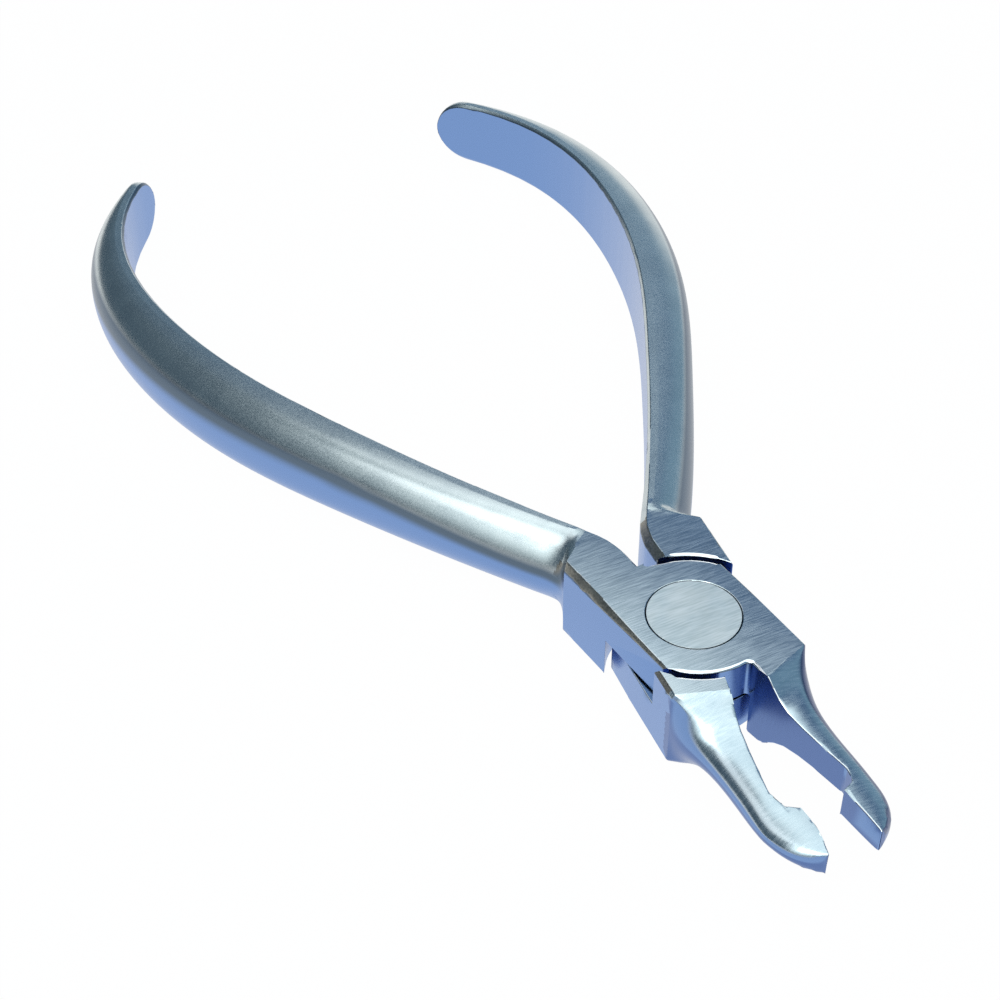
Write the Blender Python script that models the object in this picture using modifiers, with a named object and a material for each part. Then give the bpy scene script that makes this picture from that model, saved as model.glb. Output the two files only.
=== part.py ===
"""Crown contouring pliers: two forged halves that cross in a lap joint, and the rivet they turn on.

Everything is in metres, +Z up. The pivot axis is the Z axis and z = 0 is the underside of the joint.
Each half is drawn closed, with its handle towards +Y and its jaw towards -Y, and is then opened
about the pivot. The lower half is the upper one turned over about the Y axis, with its own jaw wall.
"""

import math

import bmesh
import bpy
import numpy as np
from mathutils import Matrix

MM = 0.001

# Joint
JOINT_THICKNESS = 8.9 * MM
JOINT_WIDTH = 13.0 * MM      # across the sides at the pivot
FLANK_ANGLE = 1.9            # degrees that each outer side leans out towards its own end
FRONT_WIDTH = 13.1 * MM      # and at the roots of the jaws
FLAT_WIDTH = 12.4 * MM       # across the ground faces, whose edges run straight
LEAST_CHAMFER = 0.15 * MM    # where a side is no wider than the ground face
CHAMFER_SLOPE = 1.4          # depth of a chamfer over its width
ROOT_CHAMFER = 0.7 * MM      # on the inner edges of a handle's root
INNER_CHAMFER = 0.3 * MM     # and further along the handle
LAP_MARGIN = 1.1 * MM        # how far the lap's round would reach past the side faces
SHOULDER_GAP = 0.6 * MM      # from that round to the shoulders of the other half
LAP_GAP = 0.3 * MM           # between the two lap plates
FRONT_MARGIN = 0.9 * MM      # from the lap's round to where the jaws start to taper
REAR_MARGIN = 3.6 * MM       # and to where the handles start to bend outwards
ROOT_WALL = 0.3 * MM         # from the centre plane to the inner wall of a handle's root
OPENING_ANGLE = 8.7          # degrees between the halves as they lie at rest

# Rivet, flush at both ends, fast in the lower half
RIVET_SHANK_DIAMETER = 5.0 * MM
RIVET_HEAD_RIM = 1.8 * MM    # how far the head stands out round the shank
RIVET_HEAD_DEPTH = 2.0 * MM
RIVET_FOOT_RIM = 1.0 * MM
RIVET_FOOT_DEPTH = 1.6 * MM
RIVET_CLEARANCE = 0.3 * MM

# Handle: its inner wall from the root on, as (distance behind the flats, offset from the root wall)
HANDLE_BOW = [
    (0, 0),
    (2.0 * MM, 0.45 * MM),
    (4.2 * MM, 1.55 * MM),
    (8.5 * MM, 4.0 * MM),
    (13.8 * MM, 6.8 * MM),
    (28.8 * MM, 13.8 * MM),
    (43.8 * MM, 19.75 * MM),
    (56.8 * MM, 22.65 * MM),
    (68.8 * MM, 23.05 * MM),
    (78.8 * MM, 20.85 * MM),
    (86.8 * MM, 16.3 * MM),
    (91.4 * MM, 12.2 * MM),
]
HANDLE_DEPTH = 4.9 * MM      # wall to crown at the root
HANDLE_BELLY = 6.0 * MM      # and at its thickest
HANDLE_TIP_DEPTH = 2.7 * MM  # and where the rounded end begins
HANDLE_PROUD = 0.15 * MM     # how far the crown stands above the flats at the root
HANDLE_HEIGHT = 9.7 * MM     # halfway along
HANDLE_TIP_HEIGHT = 8.2 * MM
HANDLE_END_ROUND = 4.2 * MM  # length of the rounded end
INNER_EDGE = 1.0 * MM        # width that the rounding of the inner edges takes
STEP_START = 4.6 * MM        # from the bend to where the crown rises from the flats
STEP_LENGTH = 1.3 * MM       # length over which it rises
SIDE_FADE = 4.0 * MM         # length over which the joint's side runs into the handle's
STEP_CANT = 11.0             # degrees that the step leans towards the jaws at its outer end
CANT_FADE = 14 * MM          # length over which the lean dies out
CROWN_POWER = 1.85           # 2 is an ellipse, more is squarer
BELLY_POWER = 2.5
THIN_SHARE = 0.7             # of the tip's depth that is left at the very end

# Jaw: its outer edge, top and underside from the front of the flats on, as (distance in front of
# the flats, offset of the upper and of the lower half's outer edge, rise above the middle of the
# joint, fall below it, squareness)
JAW_TAPER = [
    (0.6 * MM, 6.45 * MM, 6.5 * MM, 4.15 * MM, 4.3 * MM, 0.75),
    (1.5 * MM, 6.2 * MM, 6.4 * MM, 3.5 * MM, 3.85 * MM, 0.50),
    (2.7 * MM, 5.75 * MM, 6.1 * MM, 2.7 * MM, 3.15 * MM, 0.30),
    (4.2 * MM, 5.2 * MM, 5.65 * MM, 2.05 * MM, 2.5 * MM, 0.15),
    (6.2 * MM, 4.75 * MM, 5.25 * MM, 1.75 * MM, 2.1 * MM, 0.05),
    (8.8 * MM, 4.45 * MM, 5.0 * MM, 1.6 * MM, 1.85 * MM, 0.0),
    (11.6 * MM, 4.25 * MM, 4.85 * MM, 1.55 * MM, 1.8 * MM, 0.0),
    (13.6 * MM, 4.1 * MM, 4.8 * MM, 1.55 * MM, 1.7 * MM, 0.0),
    (15.3 * MM, 3.9 * MM, 4.4 * MM, 1.55 * MM, 1.6 * MM, 0.0),
    (16.8 * MM, 3.3 * MM, 3.75 * MM, 1.55 * MM, 1.5 * MM, 0.0),
    (17.9 * MM, 2.5 * MM, 2.9 * MM, 1.5 * MM, 1.4 * MM, 0.0),
    (18.6 * MM, 1.6 * MM, 2.0 * MM, 1.45 * MM, 1.3 * MM, 0.0),
    (18.9 * MM, 0.85 * MM, 1.3 * MM, 1.4 * MM, 1.2 * MM, 0.0),
]
JAW_POWER = 2.3
JAW_CANT = 15.0              # degrees that the front edge of the flats leans, inner end foremost
JAW_CANT_FADE = 8.0 * MM     # length over which the lean dies out

# Jaw wall that faces the other jaw, as (distance in front of the flats, offset, corner radius)
UPPER_JAW_WALL = [
    (0.1 * MM, 0.9 * MM, 1.0 * MM),
    (2.5 * MM, 1.2 * MM, 4.0 * MM),
    (11.9 * MM, 2.15 * MM, 1.2 * MM),
    (13.3 * MM, 1.75 * MM, 0.7 * MM),
    (13.7 * MM, 0.42 * MM, 0.1 * MM),
    (20.5 * MM, 0.3 * MM, 0.0),
]
LOWER_JAW_WALL = [
    (-0.2 * MM, 1.05 * MM, 0.8 * MM),
    (1.2 * MM, 1.3 * MM, 1.5 * MM),
    (5.0 * MM, 1.6 * MM, 6.0 * MM),
    (11.3 * MM, 2.4 * MM, 2.2 * MM),
    (13.0 * MM, 1.85 * MM, 0.7 * MM),
    (13.7 * MM, 0.68 * MM, 0.1 * MM),
    (16.2 * MM, 0.4 * MM, 7.0 * MM),
    (20.5 * MM, 1.1 * MM, 0.0),
]
THROAT_FILLET = 0.5 * MM     # corner between the lap's round and a wall

HALF_WIDTH = JOINT_WIDTH / 2
MID_HEIGHT = JOINT_THICKNESS / 2
LAP_RADIUS = HALF_WIDTH + LAP_MARGIN
SHOULDER_RADIUS = LAP_RADIUS + SHOULDER_GAP
FRONT_FLAT = LAP_RADIUS + FRONT_MARGIN
REAR_FLAT = LAP_RADIUS + REAR_MARGIN
RIVET_HEAD_RADIUS = RIVET_SHANK_DIAMETER / 2 + RIVET_HEAD_RIM
RIVET_FOOT_RADIUS = RIVET_SHANK_DIAMETER / 2 + RIVET_FOOT_RIM
OVERRUN = 1.0 * MM           # how far blanks and cutters run past the faces they make
LOFT_STEP = 0.1 * MM         # between unlike sections that meet at a wall
FAR = 40 * MM                # how far a cutter reaches past the part on its open side

SIDE_MIDDLE = 7              # point of a side profile at its widest, counted from the bottom
SIDE_CORNER = 4              # points from there to where the chamfer starts
ROUND_END_ANGLES = (15, 30, 45, 60, 75, 86)
HANDLE_STATIONS = 30
ARC_STEP = math.radians(7.5)


def clear_scene():
    for item in list(bpy.data.objects):
        bpy.data.objects.remove(item, do_unlink=True)


def new_collection(name):
    group = bpy.data.collections.new(name)
    bpy.context.scene.collection.children.link(group)
    return group


def steel(name, colour, roughness):
    material = bpy.data.materials.new(name)
    material.use_nodes = True
    shader = material.node_tree.nodes["Principled BSDF"]
    shader.inputs["Base Color"].default_value = (*colour, 1.0)
    shader.inputs["Metallic"].default_value = 1.0
    shader.inputs["Roughness"].default_value = roughness
    return material


def smooth_curve(knots, values):
    """A natural cubic spline through values at knots, as a function."""
    knots = np.array(knots, dtype=float)
    values = np.array(values, dtype=float)
    gaps = np.diff(knots)
    slopes = np.diff(values, axis=0).T / gaps
    count = len(knots)
    system = np.eye(count)
    bends = np.zeros(values.shape)
    for i in range(1, count - 1):
        system[i, i - 1:i + 2] = gaps[i - 1], 2 * (gaps[i - 1] + gaps[i]), gaps[i]
        bends[i] = 6 * (slopes.T[i] - slopes.T[i - 1])
    bends = np.linalg.solve(system, bends)

    def at(place):
        i = int(np.clip(np.searchsorted(knots, place) - 1, 0, count - 2))
        before = place - knots[i]
        after = knots[i + 1] - place
        return (
            (bends[i] * after ** 3 + bends[i + 1] * before ** 3) / (6 * gaps[i])
            + (values[i] / gaps[i] - bends[i] * gaps[i] / 6) * after
            + (values[i + 1] / gaps[i] - bends[i + 1] * gaps[i] / 6) * before
        )

    return at


def rounded_outline(corners):
    """Points of an open outline whose corners (x, y, radius) are rounded by arcs."""
    points = []
    for i, (x, y, radius) in enumerate(corners):
        corner = np.array([x, y])
        if radius == 0 or i in (0, len(corners) - 1):
            points.append(corner)
            continue
        back = np.array(corners[i - 1][:2]) - corner
        ahead = np.array(corners[i + 1][:2]) - corner
        reach = 0.48 * min(np.linalg.norm(back), np.linalg.norm(ahead))
        back /= np.linalg.norm(back)
        ahead /= np.linalg.norm(ahead)
        half = math.acos(np.clip(back @ ahead, -1, 1)) / 2
        cut = min(radius / math.tan(half), reach)
        radius = cut * math.tan(half)
        centre = corner + (back + ahead) / np.linalg.norm(back + ahead) * radius / math.sin(half)
        start = corner + back * cut - centre
        turn = math.pi - 2 * half
        if back[0] * ahead[1] - back[1] * ahead[0] > 0:
            turn = -turn
        steps = max(1, math.ceil(abs(turn) / ARC_STEP))
        for step in range(steps + 1):
            angle = turn * step / steps
            cosine, sine = math.cos(angle), math.sin(angle)
            spun = (start[0] * cosine - start[1] * sine, start[0] * sine + start[1] * cosine)
            points.append(centre + spun)
    return points


def arc(radius, start, end):
    """Points on a circle round the pivot, from one angle in radians to another."""
    steps = max(1, math.ceil(abs(end - start) / ARC_STEP))
    angles = [start + (end - start) * step / steps for step in range(steps + 1)]
    return [np.array([radius * math.cos(a), radius * math.sin(a)]) for a in angles]


def plate(name, outline, low, high, group):
    """A flat outline between two heights, as a mesh object."""
    data = bpy.data.curves.new(name, "CURVE")
    data.dimensions = "2D"
    data.fill_mode = "BOTH"
    data.extrude = (high - low) / 2
    spline = data.splines.new("POLY")
    spline.points.add(len(outline) - 1)
    for point, (x, y) in zip(spline.points, outline):
        point.co = (x, y, 0, 1)
    spline.use_cyclic_u = True
    drawn = bpy.data.objects.new(name + "_outline", data)
    group.objects.link(drawn)
    bpy.context.view_layer.update()
    evaluated = drawn.evaluated_get(bpy.context.evaluated_depsgraph_get())
    mesh = bpy.data.meshes.new_from_object(evaluated)
    bpy.data.objects.remove(drawn)
    bpy.data.curves.remove(data)
    form = bmesh.new()
    form.from_mesh(mesh)
    bmesh.ops.remove_doubles(form, verts=form.verts, dist=1e-6)
    bmesh.ops.translate(form, verts=form.verts, vec=(0, 0, (low + high) / 2))
    bmesh.ops.recalc_face_normals(form, faces=form.faces)
    form.to_mesh(mesh)
    form.free()
    item = bpy.data.objects.new(name, mesh)
    group.objects.link(item)
    return item


def cylinder(name, radius, low, high, group, sides=96):
    mesh = bpy.data.meshes.new(name)
    form = bmesh.new()
    bmesh.ops.create_cone(
        form, cap_ends=True, segments=sides, radius1=radius, radius2=radius, depth=high - low
    )
    bmesh.ops.translate(form, verts=form.verts, vec=(0, 0, (low + high) / 2))
    form.to_mesh(mesh)
    form.free()
    item = bpy.data.objects.new(name, mesh)
    group.objects.link(item)
    return item


def as_cutter(item):
    item.hide_render = True
    item.display_type = "WIRE"


def cut(item, cutter):
    as_cutter(cutter)
    step = item.modifiers.new(cutter.name, "BOOLEAN")
    step.operation = "DIFFERENCE"
    step.object = cutter


def flank(y):
    """From the centre plane to the outer side of a half, at y towards that side's own end."""
    return HALF_WIDTH + y * math.tan(math.radians(FLANK_ANGLE))


def jaw_flank(y):
    """The same on the side of the half's jaw, at y in front of the pivot."""
    return min(flank(y), FRONT_WIDTH / 2)


def chamfer_at(reach):
    return max(LEAST_CHAMFER, reach - FLAT_WIDTH / 2)


def side_profile(reach, half_height, power, squareness, below=LEAST_CHAMFER, above=LEAST_CHAMFER):
    """One side of a section, bottom to top: from an oval crown to a chamfered block edge."""
    points = []
    for i in range(2 * SIDE_MIDDLE + 1):
        angle = math.pi / 2 * (i / SIDE_MIDDLE - 1)
        cosine, sine = abs(math.cos(angle)), math.sin(angle)
        crown = np.array([
            reach * cosine ** (2 / power),
            math.copysign(half_height * abs(sine) ** (2 / power), sine),
        ])
        step = abs(i - SIDE_MIDDLE)
        chamfer = above if i > SIDE_MIDDLE else below
        depth = chamfer * CHAMFER_SLOPE
        if step <= SIDE_CORNER:
            block = np.array([reach, (half_height - depth) * step / SIDE_CORNER])
        else:
            share = (SIDE_MIDDLE - step) / (SIDE_MIDDLE - SIDE_CORNER - 1)
            block = np.array([(reach - chamfer) * share, half_height])
        block[1] = math.copysign(block[1], sine)
        points.append(crown * (1 - squareness) + block * squareness)
    return points


def flat_side(reach, below=LEAST_CHAMFER, above=LEAST_CHAMFER):
    """The side of a section between the flats."""
    return side_profile(reach, MID_HEIGHT, CROWN_POWER, 1.0, below, above)


def section(place, across, right, left):
    """A closed section round a point of the split line; across points to its right side."""
    ring = [(*(place + across * x), MID_HEIGHT + z) for x, z in right]
    ring += [(*(place - across * x), MID_HEIGHT + z) for x, z in reversed(left)]
    return ring


def loft(name, rings, group):
    mesh = bpy.data.meshes.new(name)
    form = bmesh.new()
    rows = [[form.verts.new(point) for point in ring] for ring in rings]
    for row, following in zip(rows, rows[1:]):
        for i in range(len(row)):
            j = (i + 1) % len(row)
            form.faces.new((row[i], row[j], following[j], following[i]))
    form.faces.new(rows[0])
    form.faces.new(rows[-1])
    bmesh.ops.remove_doubles(form, verts=form.verts, dist=1e-7)
    bmesh.ops.recalc_face_normals(form, faces=form.faces)
    form.to_mesh(mesh)
    form.free()
    item = bpy.data.objects.new(name, mesh)
    group.objects.link(item)
    return item


def handle_path():
    """The handle's inner wall as points, seen from above, with the handle on the +X side."""
    root = np.array([ROOT_WALL, REAR_FLAT])
    knots = [root + (across, along) for along, across in HANDLE_BOW]
    lengths = np.linalg.norm(np.diff(knots, axis=0), axis=1)
    return smooth_curve(np.concatenate([[0], np.cumsum(lengths)]), knots), float(lengths.sum())


def handle_sections():
    """Sections of the handle from its root to its rounded end, on the -X side."""
    path, length = handle_path()
    body_end = length - HANDLE_END_ROUND
    depth = smooth_curve(
        [0, 0.3 * length, 0.6 * length, body_end, length],
        [HANDLE_DEPTH, (HANDLE_DEPTH + HANDLE_BELLY) / 2, HANDLE_BELLY,
         HANDLE_TIP_DEPTH, THIN_SHARE * HANDLE_TIP_DEPTH],
    )
    power = smooth_curve(
        [0, 0.1 * length, 0.3 * length, 0.6 * length, length],
        [CROWN_POWER, CROWN_POWER, BELLY_POWER, BELLY_POWER, CROWN_POWER],
    )
    height = smooth_curve(
        [0, 0.2 * length, 0.55 * length, 0.82 * length, length],
        [JOINT_THICKNESS + 2 * HANDLE_PROUD, JOINT_THICKNESS, HANDLE_HEIGHT,
         (HANDLE_HEIGHT + HANDLE_TIP_HEIGHT) / 2, HANDLE_TIP_HEIGHT],
    )
    step = [STEP_START + STEP_LENGTH * share for share in (0, 0.15, 0.35, 0.65, 1.0)]
    side = [STEP_START + SIDE_FADE * share for share in (0.55, 0.75, 1.0)]
    body = np.linspace(side[-1], body_end, HANDLE_STATIONS)[1:]
    end = [length - HANDLE_END_ROUND * (1 - math.sin(a)) for a in np.radians(ROUND_END_ANGLES)]
    sections = []
    for place in [0, 0.2 * STEP_START, 0.45 * STEP_START, 0.7 * STEP_START, *step, *side, *body, *end]:
        ahead = path(place + 1e-5) - path(place - 1e-5)
        cant = STEP_CANT * max(0, 1 - place / CANT_FADE) ** 2
        turn = math.atan2(ahead[0], ahead[1]) + math.radians(cant)
        across = np.array([math.cos(turn), math.sin(turn)])
        over = max(0.0, (place - body_end) / HANDLE_END_ROUND)
        shrink = math.sqrt(1 - over * over)
        rise = min(max((place - STEP_START) / STEP_LENGTH, 0), 1)
        flats = (1 - rise) ** 2
        side = (1 - min(max((place - STEP_START) / SIDE_FADE, 0), 1)) ** 2
        x, y = path(place)
        lean = math.tan(math.radians(FLANK_ANGLE))
        to_side = (flank(y) - x) / (across[0] + across[1] * lean)
        reach = depth(place) * (1 - side) + to_side * side
        half = (height(place) * (1 - flats) + JOINT_THICKNESS * flats) / 2 * shrink
        edge = INNER_EDGE * shrink
        bevel = INNER_CHAMFER + (ROOT_CHAMFER - INNER_CHAMFER) * max(0, 1 - place / CANT_FADE)
        bevel *= shrink
        above = chamfer_at(flank(y - reach * across[1]))
        outer = side_profile(reach * shrink - edge, half, power(place), flats, above=above)
        inner = side_profile(edge, half, CROWN_POWER, 1.0, bevel, bevel)
        spot = np.array([-x, y])
        sections.append(section(spot - across * edge, across, inner, outer))
    return sections


def jaw_cant(along):
    return math.radians(JAW_CANT) * max(0, 1 - along / JAW_CANT_FADE) ** 2


def jaw_sections(wall, turned_over):
    """Sections of the jaw from its tip back to the flats, on the +X side."""
    wall_line = [(-FRONT_FLAT - along, across) for along, across, radius in wall]
    wall_y = [y for y, across in reversed(wall_line)]
    wall_x = [across for y, across in reversed(wall_line)]
    sections = []
    for along, upper_edge, lower_edge, rise, fall, squareness in reversed(JAW_TAPER):
        outer_edge = lower_edge if turned_over else upper_edge
        y = -FRONT_FLAT - along
        inner_edge = min(float(np.interp(y, wall_y, wall_x)), 0.6 * outer_edge)
        cant = jaw_cant(along)
        across = np.array([math.cos(cant), math.sin(cant)])
        width = outer_edge - inner_edge
        half_height = (rise + fall) / 2
        outer = side_profile(width / across[0], half_height, JAW_POWER, squareness)
        inner = side_profile((inner_edge + OVERRUN) / across[0], half_height, JAW_POWER, 1.0)
        spot = np.array([inner_edge, y - width * math.tan(cant)])
        lift = (fall - rise) / 2 if turned_over else (rise - fall) / 2
        sections.append([(x, y, z + lift) for x, y, z in section(spot, across, outer, inner)])
    return sections


def block_sections():
    """Sections of the straight middle of a half, from the jaw to the handle."""
    straight = np.array([1.0, 0.0])
    split = straight * (ROOT_WALL + INNER_EDGE)
    stub = flat_side(OVERRUN)
    wall = flat_side(INNER_EDGE, ROOT_CHAMFER, ROOT_CHAMFER)
    lap_front = -LAP_RADIUS - LOFT_STEP
    lap_back = LAP_RADIUS + THROAT_FILLET

    def jaw_side(y):
        return flat_side(jaw_flank(-y), below=chamfer_at(jaw_flank(-y)))

    def handle_side(y, inset=0):
        return flat_side(flank(y) - inset, above=chamfer_at(flank(y)))

    rings = []
    cant = jaw_cant(0)
    canted = np.array([math.cos(cant), math.sin(cant)])
    reach = jaw_flank(FRONT_FLAT)
    front = flat_side(reach / canted[0], below=chamfer_at(reach))
    rings.append(section(np.array([0, -FRONT_FLAT - reach * math.tan(cant)]), canted, front, stub))
    y = lap_front - LOFT_STEP
    rings.append(section(np.array([0, y]), straight, jaw_side(y), stub))
    for y in (lap_front, 0, lap_back):
        rings.append(section(np.array([0, y]), straight, jaw_side(y), handle_side(y)))
    back = lap_back + LOFT_STEP
    rings.append(section(np.array([0, back]) - split, straight, wall, handle_side(back, split[0])))
    return rings


def throat_outline(wall):
    """What is cut from the upper half in front: round the lap, then down the jaw wall."""
    line = [(across, -FRONT_FLAT - along, radius) for along, across, radius in wall]
    start = math.asin(line[0][0] / LAP_RADIUS)
    corner = (line[0][0], -LAP_RADIUS * math.cos(start), THROAT_FILLET)
    nearby = arc(LAP_RADIUS, -math.pi / 2 + start - ARC_STEP, -math.pi / 2 + start)[0]
    down = rounded_outline([(*nearby, 0), corner, *line])
    bottom = line[-1][1] - FAR
    outline = arc(LAP_RADIUS, -math.pi, -math.pi / 2 + start - ARC_STEP) + down[1:]
    return outline + [np.array([line[-1][0], bottom]), np.array([-FAR, bottom]), np.array([-FAR, 0])]


def crotch_outline():
    """What is cut from the upper half behind: round the lap, up to the wall of the handle's root."""
    start = math.asin(ROOT_WALL / LAP_RADIUS)
    corner = (-ROOT_WALL, LAP_RADIUS * math.cos(start), THROAT_FILLET)
    nearby = arc(LAP_RADIUS, math.pi / 2 + start - ARC_STEP, math.pi / 2 + start)[0]
    top = LAP_RADIUS + 2 * THROAT_FILLET
    up = rounded_outline([(*nearby, 0), corner, (-ROOT_WALL, top, 0)])
    outline = arc(LAP_RADIUS, 0, math.pi / 2 + start - ARC_STEP) + up[1:-1]
    return outline + [np.array([THROAT_FILLET, top]), np.array([FAR, top]), np.array([FAR, 0])]


def half(name, wall, turned_over, material, parts, cutters):
    """One half of the pliers, closed, with its mesh about the pivot."""
    blank = loft(name, jaw_sections(wall, turned_over) + block_sections() + handle_sections(), parts)
    high = JOINT_THICKNESS + 2 * OVERRUN
    throat = plate(name + "_throat_cutter", throat_outline(wall), -2 * OVERRUN, high, cutters)
    crotch = plate(name + "_crotch_cutter", crotch_outline(), -2 * OVERRUN, high, cutters)
    lap = cylinder(
        name + "_lap_cutter", SHOULDER_RADIUS, -2 * OVERRUN, MID_HEIGHT + LAP_GAP / 2, cutters
    )
    if turned_over:
        over = Matrix.Translation((0, 0, JOINT_THICKNESS)) @ Matrix.Rotation(math.pi, 4, "Y")
        for item in (blank, throat, crotch, lap):
            item.data.transform(over)
    for cutter in (throat, crotch, lap):
        cut(blank, cutter)
    blank.data.materials.append(material)
    return blank


def rivet_outline(clearance):
    """Half outline of the rivet, from the top down; clearance grows it into its bore."""
    shank = RIVET_SHANK_DIAMETER / 2 + clearance
    head = RIVET_HEAD_RADIUS + clearance
    foot = RIVET_FOOT_RADIUS + clearance
    under_head = JOINT_THICKNESS - RIVET_HEAD_DEPTH - clearance
    over_foot = RIVET_FOOT_DEPTH + clearance
    top = JOINT_THICKNESS + (OVERRUN if clearance else 0)
    bottom = -OVERRUN if clearance else 0
    return [
        (0, top), (head, top), (head, under_head), (shank, under_head),
        (shank, over_foot), (foot, over_foot), (foot, bottom), (0, bottom),
    ]


def turned(name, outline, group):
    """A turned piece about the Z axis."""
    mesh = bpy.data.meshes.new(name)
    edges = [(i, i + 1) for i in range(len(outline) - 1)]
    mesh.from_pydata([(x, 0, z) for x, z in outline], edges, [])
    item = bpy.data.objects.new(name, mesh)
    group.objects.link(item)
    turn = item.modifiers.new("turn", "SCREW")
    turn.steps = 64
    turn.render_steps = 64
    turn.use_merge_vertices = True
    turn.merge_threshold = 1e-6
    return item


def round_shading(item):
    item.data.shade_smooth()
    item.data.set_sharp_from_angle(angle=math.radians(30))


def build():
    clear_scene()
    parts = new_collection("crown_contouring_pliers")
    cutters = new_collection("cutters")
    upper_steel = steel("upper_half_steel", (0.50, 0.54, 0.56), 0.32)
    lower_steel = steel("lower_half_steel", (0.48, 0.52, 0.55), 0.32)
    rivet_steel = steel("rivet_steel", (0.62, 0.66, 0.66), 0.28)

    bore = turned("rivet_bore_cutter", rivet_outline(RIVET_CLEARANCE), cutters)
    upper = half("upper_half", UPPER_JAW_WALL, False, upper_steel, parts, cutters)
    lower = half("lower_half", LOWER_JAW_WALL, True, lower_steel, parts, cutters)
    for item in (upper, lower):
        cut(item, bore)
        round_shading(item)
    rivet = turned("pivot_rivet", rivet_outline(0), parts)
    rivet.data.materials.append(rivet_steel)

    pivot = bpy.data.objects.new("pivot_axis", None)
    parts.objects.link(pivot)
    for item, side in ((upper, 1), (lower, -1)):
        item.parent = pivot
        item.rotation_euler.z = math.radians(side * OPENING_ANGLE / 2)
        for name in ("throat_cutter", "crotch_cutter", "lap_cutter"):
            cutter = bpy.data.objects[item.name + "_" + name]
            cutter.rotation_euler.z = item.rotation_euler.z
    rivet.parent = pivot
    bpy.context.view_layer.update()


build()
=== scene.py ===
import math

import bpy
from mathutils import Euler, Matrix, Vector


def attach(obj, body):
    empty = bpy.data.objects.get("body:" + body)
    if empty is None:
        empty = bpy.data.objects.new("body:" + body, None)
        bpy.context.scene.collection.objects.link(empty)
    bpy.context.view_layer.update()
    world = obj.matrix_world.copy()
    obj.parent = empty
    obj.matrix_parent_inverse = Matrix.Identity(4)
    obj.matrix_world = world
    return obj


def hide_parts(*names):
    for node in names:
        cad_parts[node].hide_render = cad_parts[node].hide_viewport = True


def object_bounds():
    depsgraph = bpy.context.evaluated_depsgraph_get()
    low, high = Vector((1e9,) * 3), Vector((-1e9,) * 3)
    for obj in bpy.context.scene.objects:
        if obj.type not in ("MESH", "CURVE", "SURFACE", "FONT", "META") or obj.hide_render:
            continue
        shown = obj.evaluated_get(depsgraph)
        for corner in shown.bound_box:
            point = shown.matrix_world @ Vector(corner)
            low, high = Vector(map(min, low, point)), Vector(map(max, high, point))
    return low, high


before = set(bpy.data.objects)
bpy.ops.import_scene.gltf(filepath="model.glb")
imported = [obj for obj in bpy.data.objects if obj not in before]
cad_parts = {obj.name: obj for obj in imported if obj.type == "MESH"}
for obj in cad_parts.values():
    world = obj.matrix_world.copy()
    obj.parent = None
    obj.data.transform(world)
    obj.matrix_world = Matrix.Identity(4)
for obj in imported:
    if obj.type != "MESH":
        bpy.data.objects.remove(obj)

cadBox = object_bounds()
scene = bpy.context.scene
mm = 0.001
print("frame loaded:", sorted(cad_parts))


def focus(piece):
    bpy.ops.object.select_all(action="DESELECT")
    piece.select_set(True)
    bpy.context.view_layer.objects.active = piece


# camera, at the photograph's angle

view = {
    "place": (-0.069027, -0.100261, 0.128341),
    "turn": (48.9121, 0.4753, -26.4),
    "lens": 64.8,
    "sensor": 36.0,
    "nearest": 0.005,
}

cameraData = bpy.data.cameras.new("viewCamera")
cameraData.lens = view["lens"]
cameraData.sensor_width = view["sensor"]
cameraData.clip_start = view["nearest"]
camera = bpy.data.objects.new("viewCamera", cameraData)
camera.location = view["place"]
camera.rotation_euler = Euler([math.radians(angle) for angle in view["turn"]])
scene.collection.objects.link(camera)
scene.camera = camera
scene.view_settings.view_transform = "Standard"


# a material or world and the nodes that make it

class Wire:
    # one output socket, whose sums and products become Math nodes
    def __init__(self, finish, socket):
        self.finish = finish
        self.socket = socket

    def math(self, operation, other=0.0, swap=False):
        pair = (other, self) if swap else (self, other)
        values = {0: pair[0], 1: pair[1]}
        return self.finish.node("ShaderNodeMath", {"operation": operation}, values)

    def __add__(self, other):
        return self.math("ADD", other)

    def __sub__(self, other):
        return self.math("SUBTRACT", other)

    def __mul__(self, other):
        return self.math("MULTIPLY", other)

    def __rsub__(self, other):
        return self.math("SUBTRACT", other, swap=True)

    __radd__ = __add__
    __rmul__ = __mul__


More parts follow.
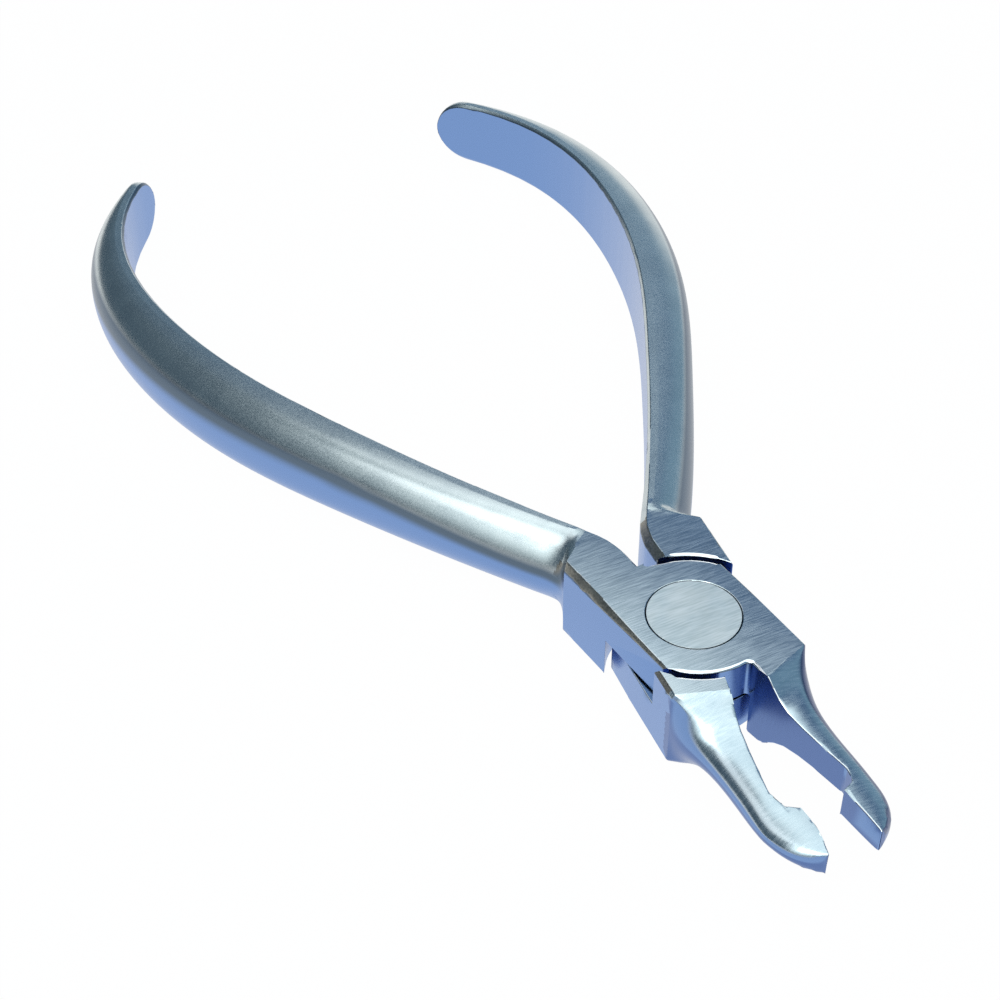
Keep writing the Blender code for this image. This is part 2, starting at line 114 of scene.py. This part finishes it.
class Finish:
    def __init__(self, owner):
        owner.use_nodes = True
        self.owner = owner
        self.tree = owner.node_tree
        self.tree.nodes.clear()

    def node(self, kind, settings=None, values=None, output=0):
        made = self.tree.nodes.new(kind)
        for key, value in (settings or {}).items():
            setattr(made, key, value)
        for key, value in (values or {}).items():
            if isinstance(value, Wire):
                self.tree.links.new(value.socket, made.inputs[key])
            elif isinstance(value, tuple) and made.inputs[key].type == "RGBA":
                made.inputs[key].default_value = (*value, 1.0)
            else:
                made.inputs[key].default_value = value
        return Wire(self, made.outputs[output]) if made.outputs else None

    def place(self, turn=0.0, stretch=(1.0, 1.0, 1.0)):
        coordinates = self.node("ShaderNodeTexCoord", output="Object")
        return self.node("ShaderNodeMapping", {}, {
            "Vector": coordinates, "Rotation": (0.0, 0.0, math.radians(turn)), "Scale": stretch,
        })

    def noise(self, vector, scale=1.0, detail=2.0, roughness=0.5):
        return self.node("ShaderNodeTexNoise", {}, {
            "Vector": vector, "Scale": scale, "Detail": detail, "Roughness": roughness,
        }, output="Fac")

    def axes(self, vector):
        split = self.node("ShaderNodeSeparateXYZ", {}, {0: vector})
        outputs = split.socket.node.outputs
        return [Wire(self, outputs[name]) for name in ("X", "Y", "Z")]

    def spread(self, value, low, high, first=0.0, second=1.0):
        return self.node("ShaderNodeMapRange", {"interpolation_type": "SMOOTHSTEP"}, {
            "Value": value, "From Min": low, "From Max": high, "To Min": first, "To Max": second,
        })

    def blend(self, share, first, second, how="MIX"):
        return self.node("ShaderNodeMix", {"data_type": "RGBA", "blend_type": how}, {
            0: share, 6: first, 7: second,
        }, output=2)


# floor, room and lamps

studio = {
    "floorColour": (0.80, 0.83, 0.90),
    "floorWhite": 0.985,                     # share of plain white that camera and mirror rays see
    "floorSize": 1.6,
    "floorCentre": (0.0, 0.03),
    "floorDrop": 0.02 * mm,
    "roomLeft": (0.07, 0.11, 0.15),
    "roomRight": (0.20, 0.33, 0.45),
    "roomEast": (-0.1, 0.5),                 # from the left wall's colour to the right one's
    "roomHigh": (0.08, 0.15, 0.28),          # at the right, above the lighter walls
    "roomHighRise": (0.40, 0.68),
    "window": (1.25, 1.40, 1.45),            # a broad pale screen over and before the pliers
    "windowFront": (0.486, -0.867, 0.115),
    "windowFrom": (-0.34, -0.28),
    "windowRight": (-0.54, 0.0, 0.84),
    "windowTo": (0.372, 0.415),
    "windowRise": (-0.05, 0.50),
    "white": (1.0, 1.0, 1.0),                # and a low white one behind them
    "whiteSide": (0.57, 0.82, 0.0),
    "whiteFrom": (0.90, 0.97),
    "whiteRise": (0.26, 0.34),
}

floorPlace = (*studio["floorCentre"], cadBox[0][2] - studio["floorDrop"])
bpy.ops.object.select_all(action="DESELECT")
bpy.ops.mesh.primitive_plane_add(size=studio["floorSize"], location=floorPlace)
floor = bpy.context.object
floor.name = "paleFloor"

paper = Finish(bpy.data.materials.new("palePaper"))
rays = paper.node("ShaderNodeLightPath").socket.node.outputs
direct, glossy, passing = (Wire(paper, rays[name]) for name in
                           ("Is Camera Ray", "Is Glossy Ray", "Is Transmission Ray"))
seen = direct.math("MAXIMUM", glossy).math("MAXIMUM", passing)
lit = paper.node("ShaderNodeBsdfDiffuse", {}, {"Color": studio["floorColour"]})
white = paper.node("ShaderNodeEmission", {}, {"Color": studio["white"], "Strength": 1.0})
paper.node("ShaderNodeOutputMaterial", {}, {
    "Surface": paper.node("ShaderNodeMixShader", {}, {
        0: seen * studio["floorWhite"], 1: lit, 2: white,
    }),
})
floor.data.materials.append(paper.owner)

roomWorld = bpy.data.worlds.new("room")
scene.world = roomWorld
room = Finish(roomWorld)
direction = room.node("ShaderNodeTexCoord", output="Generated")
east, north, up = room.axes(direction)


def towards(name):
    side = studio[name]
    return east * side[0] + north * side[1] + up * side[2]


right = room.blend(room.spread(up, *studio["roomHighRise"]),
                   studio["roomRight"], studio["roomHigh"])
walls = room.blend(room.spread(east, *studio["roomEast"]), studio["roomLeft"], right)
screen = (room.spread(towards("windowFront"), *studio["windowFrom"])
          * room.spread(towards("windowRight"), *studio["windowTo"])
          * room.spread(up, *studio["windowRise"]))
low = (room.spread(towards("whiteSide"), *studio["whiteFrom"])
       * room.spread(up, *studio["whiteRise"], 1.0, 0.0))
glow = room.blend(low, room.blend(screen, walls, studio["window"]), studio["white"])
cameraRay = room.node("ShaderNodeLightPath", output="Is Camera Ray")
room.node("ShaderNodeOutputWorld", {}, {
    "Surface": room.node("ShaderNodeBackground", {}, {
        # white past the floor's far edge
        "Color": room.blend(cameraRay, glow, studio["white"]), "Strength": 1.0,
    }),
})

lampPlan = {
    "frontSoftbox": {
        "place": (-0.22, -0.16, 0.36), "target": (0.0, 0.0, 0.0),
        "size": (0.30, 0.30), "power": 0.5,
    },
    "jawSoftbox": {
        "place": (-0.0575, 0.0364, 0.11), "target": (0.01, -0.02, 0.0),
        "size": (0.06, 0.05), "power": 0.010,
    },
    "rearSoftbox": {
        "place": (0.0, 0.092, 0.13), "target": (-0.01, 0.02, 0.009),
        "size": (0.06, 0.05), "power": 0.007,
    },
}
for name, plan in lampPlan.items():
    lampData = bpy.data.lights.new(name, "AREA")
    lampData.shape = "RECTANGLE"
    lampData.size, lampData.size_y = plan["size"]
    lampData.energy = plan["power"]
    lamp = bpy.data.objects.new(name, lampData)
    lamp.location = plan["place"]
    aim = Vector(plan["target"]) - Vector(plan["place"])
    lamp.rotation_euler = aim.to_track_quat("-Z", "Y").to_euler()
    scene.collection.objects.link(lamp)
print("camera, floor, room and lamps set")


# steel finishes

# painted reflection and shade: the steel's colour is set by the way a face turns, standing in for
# reflections that the room alone doesn't give. It is blue where a face turns sideways or down,
# with a darker band above that
paintedTones = {
    "plain": {
        "side": (0.19, 0.315, 0.60),         # painted blue reflection where it faces sideways or down
        "sideFrom": (0.02, 0.22),            # rise of the surface over which that colour fades
        "bandLeft": (0.115, 0.16, 0.215),    # painted darker band above it, where the surface faces left
        "bandRight": (0.115, 0.16, 0.215),   # and where it faces right
        "bandFrom": (0.33, 0.54),            # rise over which these fade
        "right": 0.45,                       # how much higher that is where it faces right
        "left": (-0.07, 0.17),               # and where it faces left, from the joint to the tip, so the painted band shifts along a handle
    },
    # the jaws' own painted reflection and shade: a lighter blue band where they face left, a dark
    # one where they face right
    "jaw": {
        "side": (0.115, 0.19, 0.41),
        "sideFrom": (0.0, 0.10),
        "bandLeft": (0.19, 0.31, 0.57),
        "bandRight": (0.105, 0.135, 0.235),
        "bandFrom": (0.33, 0.54),
        "right": 0.80,
        "left": (0.0, 0.0),
    },
}
shading = {
    "reach": (15.0 * mm, 80.0 * mm),         # along a handle, from the joint to the tip
    "across": (0.0, 0.4),                    # from a band's left colour to its right one
    "patches": (0.35, 0.65),
    "patchDetail": 3.0,
    "specks": (0.25, 0.75),
    "speckColour": (1.0, 1.0, 1.0),
    "roughSpecks": (0.2, 0.8),
}
# grain: turn about Z, stretch, scale and detail of its noise
steelPlan = {
    "satinSteel": {
        "colours": ((0.60, 0.66, 0.66), (0.53, 0.59, 0.60)), "roughness": (0.25, 0.31),
        "grain": (0.0, (1.0, 1.0, 1.0), 5200.0, 2.0), "cloud": 240.0,
        "relief": 0.0010 * mm, "share": 0.4, "tone": "plain",
    },
    "groundSteel": {
        "colours": ((0.58, 0.65, 0.66), (0.48, 0.55, 0.58)), "roughness": (0.11, 0.18),
        "grain": (20.0, (500.0, 12000.0, 500.0), 1.0, 3.0), "cloud": 160.0,
        "relief": 0.0008 * mm, "share": 1.0, "tone": "plain",
    },
    "polishedSteel": {
        "colours": ((0.54, 0.63, 0.67), (0.48, 0.57, 0.62)), "roughness": (0.22, 0.30),
        "grain": (35.0, (900.0, 6000.0, 900.0), 1.0, 3.0), "cloud": 300.0,
        "relief": 0.001 * mm, "share": 0.5, "tone": "jaw",
    },
    # polished edges: the low roughness is real, but their colour, lighter than the steel beside
    # them, is a painted highlight along the rounded edges
    "edgeSteelPaintedHighlight": {
        "colours": ((0.90, 0.92, 0.93), (0.82, 0.85, 0.88)), "roughness": (0.08, 0.14),
        "grain": (0.0, (1.0, 1.0, 1.0), 4000.0, 2.0), "cloud": 300.0,
        "relief": 0.001 * mm, "share": 1.0, "tone": "plain",
    },
    "chamferSteel": {
        "colours": ((0.30, 0.285, 0.24), (0.22, 0.215, 0.19)), "roughness": (0.30, 0.42),
        "grain": (0.0, (1.0, 1.0, 1.0), 6500.0, 2.0), "cloud": 400.0,
        "relief": 0.010 * mm, "share": 1.0, "tone": "plain",
    },
    "rivetSteel": {
        "colours": ((0.74, 0.78, 0.74), (0.62, 0.69, 0.68)), "roughness": (0.30, 0.40),
        "grain": (20.0, (500.0, 7000.0, 500.0), 1.0, 3.0), "cloud": 220.0,
        "relief": 0.003 * mm, "share": 1.0, "tone": "plain",
    },
}


def steel(name):
    # colours vary with the cloud, roughness and relief with the grain, and painted reflection and
    # shade follow the way a face turns
    plan = steelPlan[name]
    tone = paintedTones[plan["tone"]]
    look = Finish(bpy.data.materials.new(name))
    turn, stretch, scale, detail = plan["grain"]
    fine = look.noise(look.place(turn, stretch), scale, detail)
    patches = look.noise(look.place(), plan["cloud"], shading["patchDetail"])
    body = look.blend(look.spread(patches, *shading["patches"]), *plan["colours"])
    speck = look.blend(look.spread(fine, *shading["specks"]) * plan["share"],
                       body, shading["speckColour"], "SOFT_LIGHT")
    # painted reflection and shade: the normal's rise picks a painted blue reflection on faces
    # turned sideways or down and a painted darker band above them
    across, _, facing = look.axes(look.node("ShaderNodeTexCoord", output="Normal"))
    along = look.axes(look.place())[1]
    lift = look.spread(along, *shading["reach"], *tone["left"])
    slope = (facing - across.math("MAXIMUM", 0.0) * tone["right"]
             + across.math("MINIMUM", 0.0) * lift)
    band = look.blend(look.spread(across, *shading["across"]),
                      tone["bandLeft"], tone["bandRight"])
    shade = look.blend(look.spread(slope, *tone["bandFrom"]), band, speck)
    base = look.blend(look.spread(facing, *tone["sideFrom"]), tone["side"], shade)
    rough = look.spread(fine, *shading["roughSpecks"], *plan["roughness"])
    bump = look.node("ShaderNodeBump", {}, {
        "Height": fine, "Strength": 1.0, "Distance": plan["relief"],
    })
    shader = look.node("ShaderNodeBsdfPrincipled", {}, {
        "Base Color": base, "Roughness": rough, "Metallic": 1.0, "Normal": bump,
    })
    look.node("ShaderNodeOutputMaterial", {}, {"Surface": shader})
    return look.owner


finishNames = ("satinSteel", "groundSteel", "polishedSteel", "edgeSteelPaintedHighlight", "chamferSteel")
finishes = [steel(name) for name in finishNames]
satin, ground, polished, bright, chamfer = range(len(finishes))    # their slots on a half; bright holds the rounded edges with the painted highlight


# the two forged halves

forging = {
    "mergeWithin": 0.002 * mm,
    "flatAngle": 0.4,
    "quadAngles": (40.0, 60.0),      # most that two triangles joined to a quad may bend and skew
    "edgeAngle": 24.0,               # an edge bent by more keeps its crease
    "levels": 2,
    "smoothAngle": 34.0,             # an edge bent by more is rounded, and shades as an edge
    "broadWidth": 0.30 * mm,         # round the lap and the throat
    "jawWidth": 0.12 * mm,           # along the inside of the jaws
    "fineWidth": 0.08 * mm,          # on the other edges
    "edgeSteps": 3,
    "leastTurn": 16.0,               # an edge that leaves a neighbour by less stays sharp
    "level": 0.9995,                 # least rise of a level face's normal
    "upright": 0.0005,               # most rise of an upright one's
    "uprightArea": 1.0 * mm * mm,
    "nearLevel": 0.05 * mm,
    "wall": (0.1, 0.7),              # most rise and least turn to the side of an inner wall
    "restTurn": 4.35,
    "height": 8.9 * mm,
    "lapRadii": (7.1 * mm, 8.7 * mm),
    "throatTo": 9.6 * mm,
    "cornerTo": 8.6 * mm,            # small flats' corners within this stay sharp
    "smallFlat": 15.0 * mm * mm,
    "jawInner": 2.6 * mm,
    "stripSide": 5.9 * mm,
    "stripRise": (0.3, 0.9),
    "stripTo": 14.2 * mm,
    "rootInner": 1.8 * mm,
    "crotchSide": 1.03 * mm,         # the thin point inside this stays sharp
    "jawFrom": -8.0 * mm,
    "flatFront": -11.0 * mm,
    "flatBack": 16.4 * mm,
}


def isLevel(face):
    return abs(face.normal.z) > forging["level"]


def isUpright(face):
    return abs(face.normal.z) < forging["upright"]


def fromFlats(point):
    # height away from the nearer one of the joint's two flat faces
    return min(abs(point.z), abs(point.z - forging["height"]))


def finishOf(face, turn):
    # which steel a face gets, from its place with the pliers closed
    centre = turn @ face.center
    rise = abs(face.normal.z)
    onFlat = fromFlats(centre) < forging["nearLevel"]
    front = forging["flatFront"] if onFlat else forging["jawFrom"]
    if isLevel(face) and front < centre.y < forging["flatBack"]:
        return ground
    if centre.y < forging["jawFrom"]:
        return polished
    least, most = forging["stripRise"]
    if least < rise < most and centre.y < forging["stripTo"]:
        inner = centre.y > 0 and abs(centre.x) < forging["rootInner"]
        if abs(centre.x) > forging["stripSide"] or inner:
            return chamfer
    return satin


def pick(piece, kind, chosen):
    # leaves edit mode on, with these faces or edges selected
    bpy.ops.object.mode_set(mode="EDIT")
    bpy.ops.mesh.select_mode(type=kind)
    bpy.ops.mesh.select_all(action="DESELECT")
    bpy.ops.object.mode_set(mode="OBJECT")
    parts = piece.data.polygons if kind == "FACE" else piece.data.edges
    for index in chosen:
        parts[index].select = True
    bpy.ops.object.mode_set(mode="EDIT")


def evenNormals(piece):
    # flat faces keep their own normals beside small rounded edges; the ground ones end crisply
    data = piece.data
    rims = {key for face in data.polygons if face.material_index == ground
            for key in face.edge_keys}
    pick(piece, "EDGE", [edge.index for edge in data.edges if edge.key in rims])
    bpy.ops.mesh.mark_sharp()
    bpy.ops.object.mode_set(mode="OBJECT")
    level = [face.index for face in data.polygons if isLevel(face)]
    upright = [face.index for face in data.polygons
               if isUpright(face) and face.area > forging["uprightArea"]]
    for chosen in (level, upright):
        pick(piece, "FACE", chosen)
        bpy.ops.mesh.set_normals_from_faces(keep_sharp=True)
        bpy.ops.object.mode_set(mode="OBJECT")


def edgeKind(middle, pair):
    # broad round the lap and the throat, jaw along the jaws' inside, else fine; None stays sharp
    near, far = forging["lapRadii"]
    apart = math.hypot(middle.x, middle.y)
    lap = near < apart < (far if middle.y > 0 else forging["throatTo"])
    lap = lap and abs(middle.x) < forging["stripSide"]
    if lap and middle.y > 0 and abs(middle.x) < forging["crotchSide"]:
        return None
    flat = [face for face in pair if isLevel(face)]
    mostRise, leastSide = forging["wall"]
    inward = any(abs(face.normal.z) < mostRise and abs(face.normal.x) > leastSide
                 for face in pair)
    corner = middle.y < 0 and inward and flat and flat[0].area < forging["smallFlat"]
    if corner and near < apart < forging["cornerTo"]:
        return None
    if lap and flat and fromFlats(middle) < forging["nearLevel"] and not corner:
        return "broad"
    beside = middle.y < forging["jawFrom"] and abs(middle.x) < forging["jawInner"]
    return "jaw" if inward and not flat and beside else "fine"


def sortEdges(data, turn, kind):
    # the edges of this kind, and the borders of the ground faces, which stay crisp
    sides = {}
    for face in data.polygons:
        for key in face.edge_keys:
            sides.setdefault(key, []).append(face)
    found = set()
    borders = []
    for edge in data.edges:
        pair = sides.get(edge.key, [])
        if len(pair) != 2 or bright in (pair[0].material_index, pair[1].material_index):
            continue
        angle = pair[0].normal.angle(pair[1].normal, 0.0)
        if angle > math.radians(forging["smoothAngle"]):
            first, second = (data.vertices[index].co for index in edge.vertices)
            if edgeKind(turn @ ((first + second) / 2), pair) == kind:
                found.add(edge.index)
        elif (pair[0].material_index == ground) != (pair[1].material_index == ground):
            borders.append(edge.index)
    return found, borders


def dropTight(data, chosen):
    # takes out the edges that leave a neighbour at too small a turn to be rounded
    ends = {}
    for edge in data.edges:
        for index in edge.vertices:
            ends.setdefault(index, []).append(edge)
    least = math.radians(forging["leastTurn"])
    for index, meeting in ends.items():
        if not any(edge.index in chosen for edge in meeting):
            continue
        here = data.vertices[index].co
        ways = []
        for edge in meeting:
            there = edge.vertices[0] if edge.vertices[1] == index else edge.vertices[1]
            ways.append((edge.index, data.vertices[there].co - here))
        for one, way in ways:
            if one in chosen and any(way.angle(other, math.pi) < least
                                     for two, other in ways if two != one):
                chosen.discard(one)


def roundEdges(piece, turn, kind, width, material):
    data = piece.data
    chosen, borders = sortEdges(data, turn, kind)
    dropTight(data, chosen)
    pick(piece, "EDGE", sorted(chosen))
    bpy.ops.transform.edge_bevelweight(value=1.0)
    bpy.ops.mesh.select_all(action="DESELECT")
    bpy.ops.object.mode_set(mode="OBJECT")
    pick(piece, "EDGE", borders)
    bpy.ops.mesh.mark_sharp()
    bpy.ops.object.mode_set(mode="OBJECT")
    rounding = piece.modifiers.new(kind + "Edges", "BEVEL")
    rounding.width = width
    rounding.segments = forging["edgeSteps"]
    rounding.limit_method = "WEIGHT"
    rounding.use_clamp_overlap = False
    rounding.material = material
    bpy.ops.object.modifier_apply(modifier=rounding.name)
    bpy.ops.object.mode_set(mode="EDIT")
    bpy.ops.mesh.select_all(action="SELECT")
    bpy.ops.transform.edge_bevelweight(value=-1.0)
    bpy.ops.object.mode_set(mode="OBJECT")


def forgedHalf(node, name, side):
    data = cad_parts[node].data.copy()
    piece = bpy.data.objects.new(name, data)
    scene.collection.objects.link(piece)
    focus(piece)
    bpy.ops.mesh.customdata_custom_splitnormals_clear()
    flatAngle = math.radians(forging["flatAngle"])
    bend, skew = (math.radians(angle) for angle in forging["quadAngles"])
    bpy.ops.object.mode_set(mode="EDIT")
    bpy.ops.mesh.select_all(action="SELECT")
    bpy.ops.mesh.remove_doubles(threshold=forging["mergeWithin"])
    bpy.ops.mesh.dissolve_limited(angle_limit=flatAngle)
    bpy.ops.mesh.select_all(action="SELECT")
    bpy.ops.mesh.quads_convert_to_tris(quad_method="BEAUTY", ngon_method="BEAUTY")
    bpy.ops.mesh.tris_convert_to_quads(face_threshold=bend, shape_threshold=skew)
    bpy.ops.object.mode_set(mode="OBJECT")
    data.materials.clear()
    for material in finishes:
        data.materials.append(material)

    # sharp edges and the rims of flat faces keep their shape when the rest is made finer
    bpy.ops.object.mode_set(mode="EDIT")
    bpy.ops.mesh.select_mode(type="EDGE")
    bpy.ops.mesh.select_all(action="DESELECT")
    bpy.ops.mesh.edges_select_sharp(sharpness=math.radians(forging["edgeAngle"]))
    bpy.ops.object.mode_set(mode="OBJECT")
    rims = {key for face in data.polygons if isLevel(face) or isUpright(face)
            for key in face.edge_keys}
    for edge in data.edges:
        if edge.key in rims:
            edge.select = True
    bpy.ops.object.mode_set(mode="EDIT")
    bpy.ops.transform.edge_crease(value=1.0)
    bpy.ops.object.mode_set(mode="OBJECT")
    finer = piece.modifiers.new("finer", "SUBSURF")
    finer.levels = forging["levels"]
    finer.render_levels = forging["levels"]
    bpy.ops.object.modifier_apply(modifier=finer.name)

    turn = Matrix.Rotation(math.radians(-side * forging["restTurn"]), 4, "Z")
    for face in data.polygons:
        face.material_index = finishOf(face, turn)
    pick(piece, "FACE", [face.index for face in data.polygons
                         if isLevel(face) or isUpright(face)])
    bpy.ops.mesh.dissolve_limited(angle_limit=flatAngle, delimit={"MATERIAL"})
    bpy.ops.object.mode_set(mode="OBJECT")
    roundEdges(piece, turn, "broad", forging["broadWidth"], bright)
    roundEdges(piece, turn, "jaw", forging["jawWidth"], bright)
    roundEdges(piece, turn, "fine", forging["fineWidth"], -1)    # as the faces beside them
    bpy.ops.object.shade_smooth_by_angle(angle=math.radians(forging["smoothAngle"]))
    evenNormals(piece)
    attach(piece, node)
    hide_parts(node)
    print(name, "has", len(data.polygons), "faces")


forgedHalf("upper_half", "upperForging", 1)
forgedHalf("lower_half", "lowerForging", -1)


# rivet, whose sections are given as radius and height, from the underside up

rivetPlan = {
    "sides": 96,
    "foot": (3.72 * mm, 1.6 * mm),
    "shank": (2.6 * mm, 5.3 * mm),
    "head": (4.5 * mm, 2.0 * mm),
    "rim": 0.02 * mm,
    "rimSteps": 2,
    "smoothAngle": 50.0,
}

bpy.ops.object.select_all(action="DESELECT")
bpy.ops.mesh.primitive_circle_add(vertices=rivetPlan["sides"], radius=rivetPlan["foot"][0],
                                  fill_type="NGON", location=(0, 0, 0))
rivet = bpy.context.object
rivet.name = "flushRivet"
bpy.ops.object.mode_set(mode="EDIT")
bpy.ops.mesh.select_all(action="SELECT")
width = rivetPlan["foot"][0]
for part in ("foot", "shank", "head"):
    radius, height = rivetPlan[part]
    if radius != width:
        bpy.ops.mesh.extrude_region_move(TRANSFORM_OT_translate={"value": (0, 0, 0)})
        bpy.ops.transform.resize(value=(radius / width, radius / width, 1))
        width = radius
    bpy.ops.mesh.extrude_region_move(TRANSFORM_OT_translate={"value": (0, 0, height)})
bpy.ops.mesh.select_all(action="SELECT")
bpy.ops.mesh.normals_make_consistent(inside=False)
bpy.ops.object.mode_set(mode="OBJECT")
rim = rivet.modifiers.new("rim", "BEVEL")
rim.width = rivetPlan["rim"]
rim.segments = rivetPlan["rimSteps"]
rim.limit_method = "ANGLE"
focus(rivet)
bpy.ops.object.modifier_apply(modifier=rim.name)
bpy.ops.object.shade_smooth_by_angle(angle=math.radians(rivetPlan["smoothAngle"]))
evenNormals(rivet)
rivet.data.materials.append(steel("rivetSteel"))
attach(rivet, "lower_half")
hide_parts("pivot_rivet")
